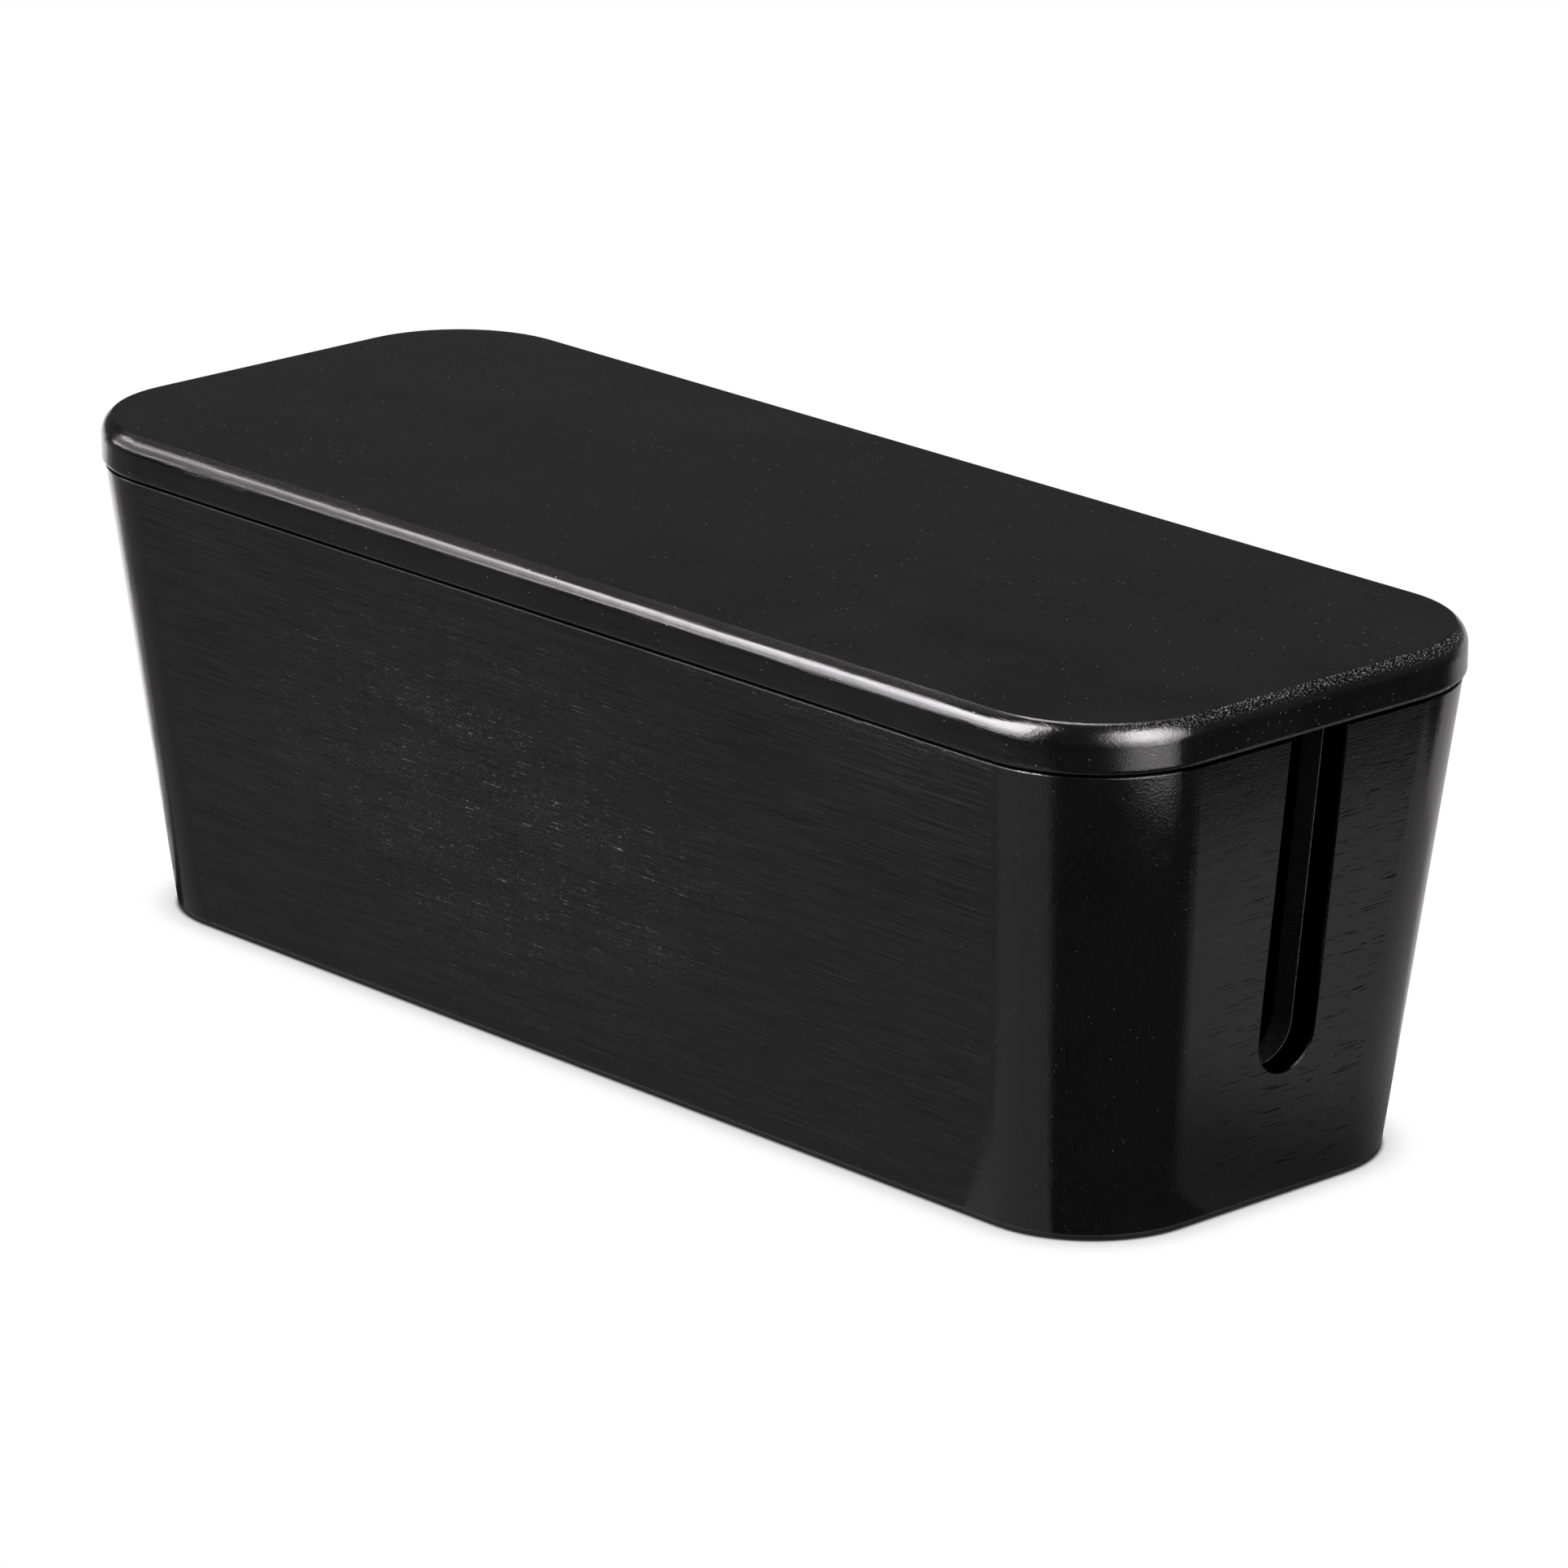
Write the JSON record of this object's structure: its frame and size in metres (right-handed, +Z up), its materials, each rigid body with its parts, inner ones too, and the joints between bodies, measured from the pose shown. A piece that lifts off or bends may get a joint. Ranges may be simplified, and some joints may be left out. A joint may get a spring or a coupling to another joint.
{
  "type": "cable management box",
  "caption": "Flared wooden box with rounded corners and a lift-off lid, open cable slots in both ends, made to hide a power strip and its cables.",
  "frame": {"origin": "on the surface that the box stands on, under the middle of the box", "axes": "+X along the box, towards the right end; +Z up; the front faces -Y"},
  "size_m": [0.402, 0.1506, 0.1375],
  "materials": {
    "lid_paint": "satin black paint, level grain",
    "panel_paint": "satin black paint, level grain",
    "post_paint": "satin black paint, upright grain",
    "liner_paint": "thin black paint, coarse sawn edges",
    "base_paint": "black paint, level grain",
    "batten_paint": "thin black paint, level grain",
    "foot_rubber": "matt",
    "screw_steel": "blackened"
  },
  "bodies": {
    "box": {"front_panel": "panel_paint", "back_panel": "panel_paint", "left_end_panel": "panel_paint", "right_end_panel": "panel_paint", "front_liner": "liner_paint", "back_liner": "liner_paint", "left_end_liner": "liner_paint", "right_end_liner": "liner_paint", "front_left_post": "post_paint", "front_right_post": "post_paint", "back_left_post": "post_paint", "back_right_post": "post_paint", "base_board": "base_paint", "base_screws": "screw_steel", "foot_front_left": "foot_rubber", "foot_front_right": "foot_rubber", "foot_back_left": "foot_rubber", "foot_back_right": "foot_rubber"},
    "lid": {"lid_board": "lid_paint", "front_batten": "batten_paint", "back_batten": "batten_paint", "left_batten": "batten_paint", "right_batten": "batten_paint", "batten_screws": "screw_steel"}
  },
  "joints": [
    {"name": "lid_lift", "type": "slide", "parent": "box", "child": "lid", "axis": [0, 0, 1], "range_m": [0, 0.15]}
  ]
}
